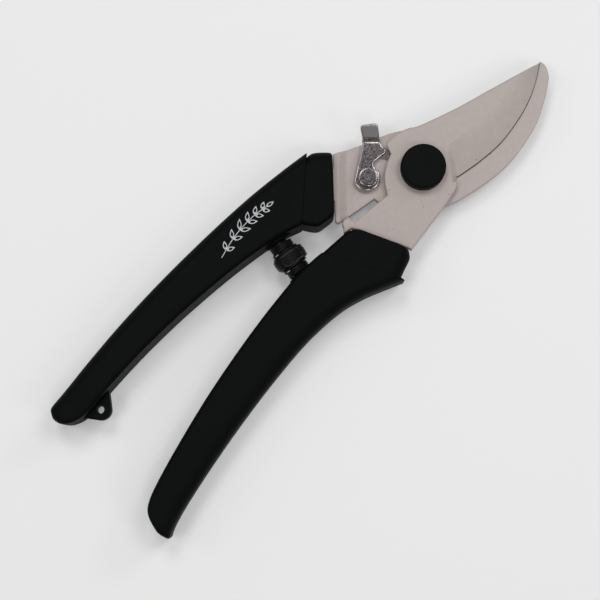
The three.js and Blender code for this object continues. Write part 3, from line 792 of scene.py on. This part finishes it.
def rim_relief(inner, start=77, end=114):
    """A band under the boss's rim, which the catch passes through when the shears open."""
    outer = BOSS_RADIUS + 2
    outline = Outline(*polar(outer, start)).arc((0, 0), outer, start, end)
    return outline.arc((0, 0), inner, end, start).places


def mark_bevel(blade, material, steepest=0.05, flattest=0.75):
    """Gives the steep last bevel along the cutting edge a second, darker material: bare ground steel with
    painted shade.
    """
    blade.data.materials.append(material)
    edge = [spline(CUTTING_EDGE, t) for t in shares(120)]
    for face in blade.data.polygons:
        centre = face.center.xy / MM
        near = min((centre - place).length for place in edge) < EDGE_BEVEL
        if near and steepest < face.normal.z < flattest:
            face.material_index = 1


def cutting_blade(material, edge_material):
    bore = circle((0, 0), BLADE_BORE)
    edges = (BLADE_TOP_EDGE, PLATE_EDGE)
    blade = to_object("blade_plate", prism, blade_outline(), PLATES_MEET, BLADE_TOP, *edges, [bore])
    cut(blade, loft, grind_wedge())
    cut(blade, prism, rim_relief(NOSE_REACH), PLATES_MEET - 1, NOSE_TOP + FIT_GAP)
    cut(blade, prism, rim_relief(SHOULDER_REACH), PLATES_MEET - 1, LEVER_TOP + RIM_GAP)
    cut_pin_holes(blade, FINGER_HANDLE)
    finish_piece(blade, "blade_side", "coated_steel", material, "cutting_blade")
    mark_bevel(blade, edge_material)


def counter_blade(material):
    """The hook's plate, stepped up along a joggle beside its handle."""
    holes = [circle((0, 0), PIVOT_BORE), circle(LEVER_PIVOT, RIVET_RADIUS + PIN_GAP, 40)]
    edges = (PLATE_EDGE, PLATE_EDGE)
    plate = to_object("hook_plate", prism, hook_outline(), HOOK_BOTTOM, PLATES_MEET, *edges, holes)
    heading = polar(1, JOGGLE_HEADING).to_3d()
    length = JOGGLE_END - JOGGLE_START
    steps = 16

    def stepped(place):
        return place + Vector((0, 0, JOGGLE * smooth(place.dot(heading), JOGGLE_START, JOGGLE_END)))

    lines = [(heading * (JOGGLE_START + length * i / steps), heading) for i in range(steps + 1)]
    reshape(plate, stepped, lines)
    cut_pin_holes(plate, THUMB_HANDLE)
    finish_piece(plate, "hook_side", "coated_steel", material, "counter_blade")


# ---- catch and its rivet

ALONG_LEVER = polar(1, LEVER_HEADING)
BEND_START, BEND_END, TAB_START = 12.2, 14.2, 12.9  # distances from the rivet
BEND_LEAN = 0.8  # how much nearer the rivet the bend starts on the upper face


def on_lever(along, left):
    """A place in the catch's own directions: along it from the rivet, and to its left."""
    return LEVER_PIVOT + ALONG_LEVER * along + left_of(ALONG_LEVER) * left


def rounded_loop(places, share=0.35, steps=6):
    """The loop with each corner replaced by a curve that starts a share of the way along its sides."""
    loop = []
    for i, place in enumerate(places):
        start = place.lerp(places[i - 1], share)
        end = place.lerp(places[(i + 1) % len(places)], share)
        loop += [quadratic(start, place, end, t) for t in shares(steps)]
    return loop


def lever_outline():
    """The catch's thick part: a round heel, a pointed side towards the boss and a thumb tab."""
    heel = [polar(LEVER_HEEL_RADIUS, angle) for angle in range(110, 301, 6)]
    outline = [on_lever(spot.x, spot.y + LEVER_HEEL_OFFSET) for spot in heel]
    corners = [
        (3.4, -2.1), (5.2, -2), (7, -4), (8.3, -5.9), (9.5, -6), (10.3, -4.9), (12.2, -3.8),
        (16.6, -3.3), (17.4, -2.6), (16.9, 2.3), (16.2, 2.8), (12.4, 1.7),
    ]
    loop = [outline[-1], *[on_lever(*corner) for corner in corners], outline[0]]
    steps = 6
    return [*outline, *rounded_loop(loop, steps=steps)[steps + 1:-steps - 1]]


def nose_outline():
    """The thin nose that stands in the notch of the boss."""
    corners = [(7.4, -3), (7, -5), (6.6, -6.5), (7.9, -7.9), (9.7, -6.7), (10.1, -5.2), (10, -3)]
    return rounded_loop([on_lever(*corner) for corner in corners], 0.1)


def lock_lever(material):
    hole = circle(LEVER_PIVOT, RIVET_RADIUS + PIN_GAP, 40)
    edges = (LEVER_EDGE, LEVER_BOTTOM_EDGE)
    lever = to_object("lever", prism, lever_outline(), LEVER_BOTTOM, LEVER_TOP, *edges, [hole], steps=6)
    join(lever, prism, nose_outline(), LEVER_BOTTOM, NOSE_TOP, NOSE_EDGE, steps=5)

    def bent(place):
        height = (place.z - LEVER_BOTTOM) / LEVER_THICKNESS
        along = (place.xy - LEVER_PIVOT).dot(ALONG_LEVER) + BEND_LEAN * height
        rise = TAB_RISE * smooth(along, BEND_START, BEND_END) + TAB_SLOPE * max(along - TAB_START, 0)
        return place + Vector((0, 0, rise))

    first, apart = 11, 0.25
    lines = [(on_lever(first + apart * i, 0).to_3d(), ALONG_LEVER.to_3d()) for i in range(20)]
    reshape(lever, bent, lines)
    finish_piece(lever, "catch", "bright_steel", material, "lock_lever")


def lock_rivet(material):
    tail_high = HOOK_BOTTOM - BURR_THICKNESS
    tail_radius = RIVET_RADIUS + 0.9
    profile = [
        (0, RIVET_TAIL), (tail_radius, RIVET_TAIL), (tail_radius, tail_high),
        (RIVET_RADIUS, tail_high), (RIVET_RADIUS, LEVER_TOP), (RIVET_HEAD_RADIUS, LEVER_TOP),
        (RIVET_HEAD_RADIUS, RIVET_TOP - 0.05), (RIVET_HEAD_RADIUS - 0.5, RIVET_TOP), (0, RIVET_TOP),
    ]
    rivet = to_object("rivet", lathe, rounded(profile, 0.22), (*LEVER_PIVOT, 0))
    rim = DIMPLE_RADIUS + 0.08
    dimple = [(0, -DIMPLE_DEPTH), (DIMPLE_RADIUS, -DIMPLE_DEPTH), (rim, 0), (rim, 1), (0, 1)]
    cut(rivet, lathe, dimple, (*on_lever(-0.9, 0.2), RIVET_TOP), sides=24)
    finish_piece(rivet, "hook_side", "bright_steel", material, "lock_rivet")


# ---- caps

def hollow_cap(name, radius, rim, face, material, node):
    under = face - copysign(1, face - rim) * CAP_WALL
    bore = radius - CAP_WALL
    profile = [(0, under), (bore, under), (bore, rim), (radius, rim), (radius, face), (0, face)]
    cap = to_object(name, lathe, rounded(profile, CAP_EDGE, 6, keep=(2, 3)), sides=128)
    finish_piece(cap, "hook_side", "cap_plastic", material, node)


# ---- spring

def spring_radius(turn):
    """How far the wire's centre is from the axis, for a number of turns from the nearer end."""
    narrow = SPRING_END_RADIUS - WIRE_RADIUS
    between = narrow + 0.55
    wide = SPRING_MIDDLE_RADIUS - WIRE_RADIUS - 0.4
    first_step = smooth(turn, END_TURNS - 0.35, END_TURNS - 0.1)
    second_step = smooth(turn, END_TURNS + 0.9, END_TURNS + 1.25)
    crown = 0.2 * smooth(turn, END_TURNS + 1.3, SPRING_TURNS / 2)
    return narrow + (between - narrow) * first_step + (wide - between) * second_step + crown


def spring_pitch(turn):
    """The distance between neighbouring turns, in wire diameters."""
    loose = smooth(turn, END_TURNS - 0.8, END_TURNS) * smooth(turn, END_TURNS + 1.7, END_TURNS + 0.9)
    return 1 + 0.5 * loose


def spring_path(per_turn=40):
    """Rows of the wire's centre, the outward direction and the share of the spring's length before it."""
    side = Vector((0, 0, 1))
    other = SPRING_AXIS.cross(side)
    count = int(SPRING_TURNS * per_turn)
    nearer = [min(i, count - i) / per_turn for i in range(count + 1)]
    lengths = [0]
    for turn in nearer[1:]:
        lengths.append(lengths[-1] + spring_pitch(turn))
    span = SPRING_LENGTH - 2 * WIRE_RADIUS
    path = []
    for i, turn in enumerate(nearer):
        share = lengths[i] / lengths[-1]
        angle = 2 * pi * i / per_turn
        outward = side * cos(angle) + other * sin(angle)
        centre = SPRING_MIDDLE + SPRING_AXIS * span * (share - 0.5) + outward * spring_radius(turn)
        path.append((centre, outward, share))
    return path


def spring_coil(bm):
    turns = [2 * pi * k / WIRE_SIDES for k in range(WIRE_SIDES)]
    around = [(WIRE_RADIUS, cos(turn), sin(turn)) for turn in turns]
    loft(bm, [
        [centre + (outward * out + SPRING_AXIS * up) * radius for radius, out, up in around]
        for centre, outward, _ in spring_path()
    ])


def make_spring(material):
    """The spring, whose coils move apart as it opens while its wire keeps its thickness."""
    spring = to_object("spring_coil", spring_coil)
    finish_piece(spring, None, "spring_steel", material, "spring")
    half = SPRING_AXIS * SPRING_LENGTH / 2
    start, end = (SPRING_MIDDLE - half) * MM, (SPRING_MIDDLE + half) * MM
    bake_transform(spring, "hook_side", "blade_side", start=start, end=end)
    weights = spring.data.attributes["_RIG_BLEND"].data
    seated = 0.06  # the share of the spring at each end that stays on its seat
    for i, (_, _, share) in enumerate(spring_path()):
        opened = min(max((share - seated) / (1 - 2 * seated), 0), 1)
        for k in range(WIRE_SIDES):
            weights[i * WIRE_SIDES + k].value = opened


# ---- printed sprig

def leaf(root, heading, length, width, steps=12):
    ahead = polar(1, heading)
    side = left_of(ahead)
    left, right = [], []
    for t in shares(steps):
        half = width / 2 * sin(pi * t ** 0.8) ** 0.9
        left.append(root + ahead * length * t + side * half)
        right.insert(0, root + ahead * length * t - side * half)
    return [*left, *right[1:-1]]


def open_leaf(bm, root, heading, length, width):
    """A leaf printed as a thin line round an open middle."""
    inner_root = root + polar(1, heading) * PRINT_LINE * 2.4
    inside = leaf(inner_root, heading, length - PRINT_LINE * 4.8, width - PRINT_LINE * 2)
    prism(bm, leaf(root, heading, length, width), PRINT_LOW, PRINT_HIGH, holes=[inside])


def sprig(bm, pairs=6, steps=30, spread=40):
    """A printed sprig of leaves on the hook's grip, drawn as thin raised ink."""
    stem = vectors([(-68, 24.9), (-60, 26.9), (-52, 27.4), (-46, 26.6)])
    middle = [spline(stem, t) for t in shares(steps)]
    half = Vector((0, PRINT_LINE / 2))
    line = [*[place - half for place in middle], *[place + half for place in reversed(middle)]]
    prism(bm, line, PRINT_LOW, PRINT_HIGH)
    for i in range(pairs):
        t = 0.14 + 0.74 * i / (pairs - 1)
        root = spline(stem, t)
        ahead = spline(stem, t + 0.02) - root
        heading = degrees(atan2(ahead.y, ahead.x))
        length = 3.6 - 1.2 * abs(2 * t - 0.9)
        for turn in (spread, -spread):
            start = root + polar(PRINT_LINE * 0.7, heading + copysign(90, turn))
            open_leaf(bm, start, heading + turn, length, 1.4)
    open_leaf(bm, stem[-1], -10, 3, 1.3)


# ---- materials

class Finish:
    """A material under construction: its shader, and helpers for the nodes that feed it."""

    def __init__(self, name, color, roughness, metallic=0.0, **sockets):
        self.material = bpy.data.materials.new(name)
        self.material.use_nodes = True
        self.nodes = self.material.node_tree.nodes
        self.links = self.material.node_tree.links
        self.shader = self.nodes["Principled BSDF"]
        self.set("Base Color", (*color, 1))
        self.set("Roughness", roughness)
        self.set("Metallic", metallic)
        for socket, value in sockets.items():
            self.set(socket.replace("_", " "), value)
        self.place = self.nodes.new("ShaderNodeTexCoord").outputs["Object"]

    def set(self, socket, value):
        self.shader.inputs[socket].default_value = value

    def feed(self, output, socket):
        self.links.new(output, self.shader.inputs[socket])

    def fill(self, socket, value):
        """Gives a node's input a fixed value, or links another node's output to it."""
        if isinstance(value, bpy.types.NodeSocket):
            self.links.new(value, socket)
        else:
            socket.default_value = value

    def node(self, kind, **values):
        node = self.nodes.new("ShaderNode" + kind)
        for name, value in values.items():
            self.fill(node.inputs[name], value)
        return node

    def stretched(self, scale, turn):
        mapping = self.node("Mapping", Vector=self.place, Scale=scale, Rotation=(0, 0, radians(turn)))
        return mapping.outputs["Vector"]

    def noise(self, per_metre, detail=3.0, place=None):
        texture = self.node("TexNoise", Vector=place or self.place, Scale=per_metre, Detail=detail)
        return texture.outputs["Fac"]

    def specks(self, per_metre, size):
        """1 inside sparse round specks, and 0 elsewhere."""
        texture = self.node("TexVoronoi", Vector=self.place, Scale=per_metre)
        return self.ramp(texture.outputs["Distance"], (size, 1.0), (size * 1.6, 0.0))

    def upward(self, start, end):
        """0 where the surface tilts, rising to 1 where it faces straight up or down."""
        split = self.node("SeparateXYZ", Vector=self.place.node.outputs["Normal"])
        size = self.node("Math")
        size.operation = "ABSOLUTE"
        self.links.new(split.outputs["Z"], size.inputs[0])
        return self.ramp(size.outputs["Value"], (start, 0.0), (end, 1.0))

    def ramp(self, value, *stops):
        """Maps a value through (position, brightness) stops."""
        ramp = self.node("ValToRGB", Fac=value)
        for element, (position, brightness) in zip(ramp.color_ramp.elements, stops):
            element.position = position
            element.color = (brightness, brightness, brightness, 1)
        return ramp.outputs["Color"]

    def mix(self, factor, first, second):
        """A colour between two, each a colour or another node's output."""
        mix = self.node("Mix", Factor=factor)
        mix.data_type = "RGBA"
        for i, value in ((6, first), (7, second)):
            self.fill(mix.inputs[i], (*value, 1) if isinstance(value, tuple) else value)
        return mix.outputs[2]

    def vary_roughness(self, value, low, high):
        self.feed(self.ramp(value, (0.3, low), (0.7, high)), "Roughness")

    def bump(self, value, height_mm, strength):
        bump = self.node("Bump", Height=value, Distance=height_mm * MM, Strength=strength)
        self.feed(bump.outputs["Normal"], "Normal")


def mottled(name, color, roughness, metallic, patches, tones, polish, grain, **sockets):
    """A finish with patches (noise scale, detail) between two tones, an uneven polish (scale, lowest
    and highest roughness) and a raised grain (scale, detail, height in millimetres, strength)."""
    finish = Finish(name, color, roughness, metallic, **sockets)
    finish.feed(finish.mix(finish.noise(*patches), *tones), "Base Color")
    polish_scale, low, high = polish
    finish.vary_roughness(finish.noise(polish_scale), low, high)
    grain_scale, detail, height, strength = grain
    finish.bump(finish.noise(grain_scale, detail), height, strength)
    return finish.material


def coated_steel():
    """Pale warm grey non-stick coating, faintly mottled, with a few specks."""
    finish = Finish("coated_steel", (0.38, 0.33, 0.31), 0.4, Specular_IOR_Level=0.45)
    mottle = finish.mix(finish.noise(450), (0.325, 0.28, 0.262), (0.385, 0.334, 0.313))
    grains = finish.ramp(finish.noise(3200, 2), (0.35, 0.0), (0.7, 0.35))
    grained = finish.mix(grains, mottle, (0.46, 0.40, 0.372))
    finish.feed(finish.mix(finish.specks(210, 0.035), grained, (0.12, 0.1, 0.09)), "Base Color")
    finish.vary_roughness(finish.noise(900), 0.36, 0.46)
    finish.bump(finish.noise(2600), 0.01, 0.5)
    return finish.material


def bright_steel():
    """Plated steel with a stained, brushed face; its rounded edges are painted lighter, partly as
    rubbed-clean wear and partly as a painted highlight.
    """
    finish = Finish("bright_steel", (0.3, 0.275, 0.275), 0.2, 1.0)
    streaks = finish.noise(1, 4, finish.stretched((1100, 3800, 1100), -LEVER_HEADING))
    grains = finish.ramp(finish.noise(3300, 3), (0.4, 0.0), (0.6, 1.0))
    stain = finish.mix(grains, (0.05, 0.042, 0.042), (0.17, 0.152, 0.152))
    face = finish.mix(finish.ramp(streaks, (0.45, 0.0), (0.8, 0.6)), stain, (0.24, 0.22, 0.22))
    # Tilted surfaces, chiefly the rounded edges, get a lighter colour: a painted highlight along with
    # rubbed-clean wear.
    finish.feed(finish.mix(finish.upward(0.9, 0.99), (0.66, 0.62, 0.62), face), "Base Color")
    finish.vary_roughness(streaks, 0.15, 0.23)
    finish.bump(streaks, 0.008, 0.25)
    return finish.material


def print_ink():
    finish = Finish("print_ink", (0.42, 0.43, 0.45), 0.6)
    tone = finish.mix(finish.noise(1500), (0.36, 0.37, 0.39), (0.52, 0.53, 0.55))
    finish.feed(finish.mix(finish.specks(1800, 0.12), tone, (0.2, 0.21, 0.21)), "Base Color")
    finish.bump(finish.noise(3000), 0.01, 0.3)
    return finish.material


def ground_edge_and_shade():
    """The blade's last bevel, darker than the coating: bare steel marked by the grinding, painted dark with
    the shade of the thin gap along the cutting edge.
    """
    tones = ((0.06, 0.053, 0.051), (0.15, 0.133, 0.128))
    return mottled("ground_edge_and_shade", (0.1, 0.09, 0.087), 0.35, 0.6,
                   patches=(1800, 4), tones=tones, polish=(2400, 0.28, 0.42), grain=(3600, 3, 0.008, 0.5))


def satin_black(name, roughness, blues=(0.0045, 0.0022, 0.0038), **looks):
    """A black finish, of which blues says how cool the even colour and the two tones are."""
    even, dark, light = blues
    tones = ((0.0018, 0.0026, dark), (0.0032, 0.0043, light))
    return mottled(name, (0.004, 0.005, even), roughness, 0.0, tones=tones, Specular_IOR_Level=0.04, **looks)


def soft_grip():
    return satin_black("soft_grip", 0.6,
                       patches=(120, 3), polish=(700, 0.5, 0.62), grain=(3500, 2, 0.02, 0.5))


def hard_plastic():
    """A little smoother than the sleeves."""
    return satin_black("hard_plastic", 0.5,
                       patches=(200, 3), polish=(900, 0.48, 0.6), grain=(4200, 2, 0.012, 0.4))


def cap_plastic():
    """Slightly cooler and smoother than the handles."""
    return satin_black("cap_plastic", 0.5, (0.0048, 0.0024, 0.0042),
                       patches=(260, 3), polish=(1200, 0.46, 0.56), grain=(4500, 2, 0.01, 0.4))


def zinc_steel():
    tones = ((0.42, 0.43, 0.45), (0.58, 0.58, 0.57))
    return mottled("zinc_steel", (0.5, 0.51, 0.52), 0.4, 1.0,
                   patches=(600, 5), tones=tones, polish=(1500, 0.32, 0.5), grain=(3000, 3, 0.01, 0.4))


def spring_steel():
    tones = ((0.006, 0.005, 0.0055), (0.016, 0.014, 0.0145))
    return mottled("spring_steel", (0.01, 0.009, 0.0095), 0.3, 0.5, patches=(900, 3), tones=tones,
                   polish=(1500, 0.25, 0.4), grain=(2800, 3, 0.008, 0.4), Specular_IOR_Level=0.3)


def bronze():
    return mottled("bronze", (0.56, 0.36, 0.17), 0.38, 1.0,
                   patches=(700, 3), tones=((0.48, 0.3, 0.14), (0.62, 0.42, 0.2)),
                   polish=(1600, 0.3, 0.45), grain=(2600, 3, 0.008, 0.4))


# ---- hardware that keeps its CAD shape

def dress_hardware(zinc, bronze_finish, wire):
    finishes = {
        "zinc_steel": (zinc, [
            "pivot_bolt", "pivot_nut", "pivot_washer", "lock_rivet_burr",
            "hook_tang_pin_front", "hook_tang_pin_rear", "blade_tang_pin_front", "blade_tang_pin_rear",
        ]),
        "bronze": (bronze_finish, ["pivot_bush"]),
        "spring_steel": (wire, ["lock_wave_washer"]),
    }
    for slot, (material, nodes) in finishes.items():
        for name in nodes:
            node = frame["nodes"][name]
            node.data.materials.clear()
            node.data.materials.append(material)
            bevel = node.modifiers.new("edges", "BEVEL")
            bevel.width = HARDWARE_EDGE * MM
            bevel.segments = 2
            bevel.limit_method = "ANGLE"


# ---- studio

FLOOR_GAP = 0.03
FLOOR_HALF = 3000
FLOOR_GREY = 0.61
FLOOR_GLOW, ROOM_GLOW = 0.19, 0.22
LENS, SENSOR = 86.4, 36
VIEW_TILT = radians(7)
VIEW_DISTANCE = 480
VIEW_TARGET = Vector((-58.45, -1.35, 0))
IMAGE_RIGHT = polar(1, -45).to_3d()
IMAGE_UP_FLAT = polar(1, 45).to_3d()
WHITE = (1, 1, 1, 1)
LIGHT_DISTANCE = 1.3  # metres, as the lights' sizes are
LIGHTS = [  # name, azimuth, elevation, size, watts
    ("key", 110, 64, 0.4, 4.3),
    ("right_key", 38, 64, 0.4, 3.6),
    ("left_key", 203, 64, 0.4, 2.6),
    ("near_key", 288, 64, 0.25, 1.5),
    ("left_fill", 165, 40, 0.35, 1.1),
    ("right_fill", 40, 33, 0.35, 2),
    ("low_fill", -28, 44, 0.4, 1.6),
]


def make_camera():
    data = bpy.data.cameras.new("camera")
    data.sensor_width, data.lens = SENSOR, LENS
    data.clip_start, data.clip_end = 0.01, 20
    camera = add_object("camera", data)
    back = Vector((0, 0, cos(VIEW_TILT))) - IMAGE_UP_FLAT * sin(VIEW_TILT)
    up = back.cross(IMAGE_RIGHT)
    turn = Matrix((IMAGE_RIGHT, up, back)).transposed()
    camera.matrix_world = Matrix.Translation((VIEW_TARGET + back * VIEW_DISTANCE) * MM) @ turn.to_4x4()
    bpy.context.scene.camera = camera


def soft_light(name, azimuth, elevation, size, watts):
    """A square light that faces the shears. Azimuth is the image's: 0 is right and 90 is up."""
    data = bpy.data.lights.new(name, "AREA")
    data.shape = "RECTANGLE"
    data.size, data.size_y = size, size
    data.energy = watts
    lamp = add_object(name, data)
    a, e = radians(azimuth), radians(elevation)
    flat = IMAGE_RIGHT * cos(a) + IMAGE_UP_FLAT * sin(a)
    toward = flat * cos(e) + Vector((0, 0, sin(e)))
    lamp.location = VIEW_TARGET * MM + toward * LIGHT_DISTANCE
    lamp.rotation_mode = "QUATERNION"
    lamp.rotation_quaternion = toward.to_track_quat("Z", "Y")


def make_floor():
    def plane(bm):
        bmesh.ops.create_grid(bm, x_segments=8, y_segments=8, size=FLOOR_HALF)
        bmesh.ops.translate(bm, verts=bm.verts, vec=(0, 0, -FLOOR_GAP))

    floor = to_object("floor", plane)
    floor.data.transform(Matrix.Scale(MM, 4))
    glow = {"Emission_Color": WHITE, "Emission_Strength": FLOOR_GLOW}
    finish = Finish("floor_paper", (FLOOR_GREY,) * 3, 0.9, **glow)
    finish.feed(finish.mix(finish.noise(3), (0.605,) * 3, (0.615,) * 3), "Base Color")
    floor.data.materials.append(finish.material)


def make_world():
    world = bpy.data.worlds.new("studio")
    bpy.context.scene.world = world
    world.use_nodes = True
    background = world.node_tree.nodes["Background"]
    background.inputs["Color"].default_value = WHITE
    background.inputs["Strength"].default_value = ROOM_GLOW


def make_studio():
    make_camera()
    make_floor()
    make_world()
    for light in LIGHTS:
        soft_light(*light)
    bpy.context.scene.view_settings.view_transform = "Standard"


# ---- assembly

def main():
    make_studio()
    steel = coated_steel()
    bright = bright_steel()
    cap = cap_plastic()
    wire = spring_steel()
    make_handles(soft_grip(), hard_plastic())
    cutting_blade(steel, ground_edge_and_shade())
    counter_blade(steel)
    lock_lever(bright)
    lock_rivet(bright)
    hollow_cap("cap_top", CAP_RADIUS, CAP_LOW, CAP_TOP, cap, "pivot_cap")
    hollow_cap("cap_under", NUT_CAP_RADIUS, NUT_CAP_HIGH, NUT_CAP_LOW, cap, "nut_cap")
    make_spring(wire)
    finish_piece(to_object("sprig_print", sprig), "hook_side", "soft_grip", print_ink())
    dress_hardware(zinc_steel(), bronze(), wire)


main()
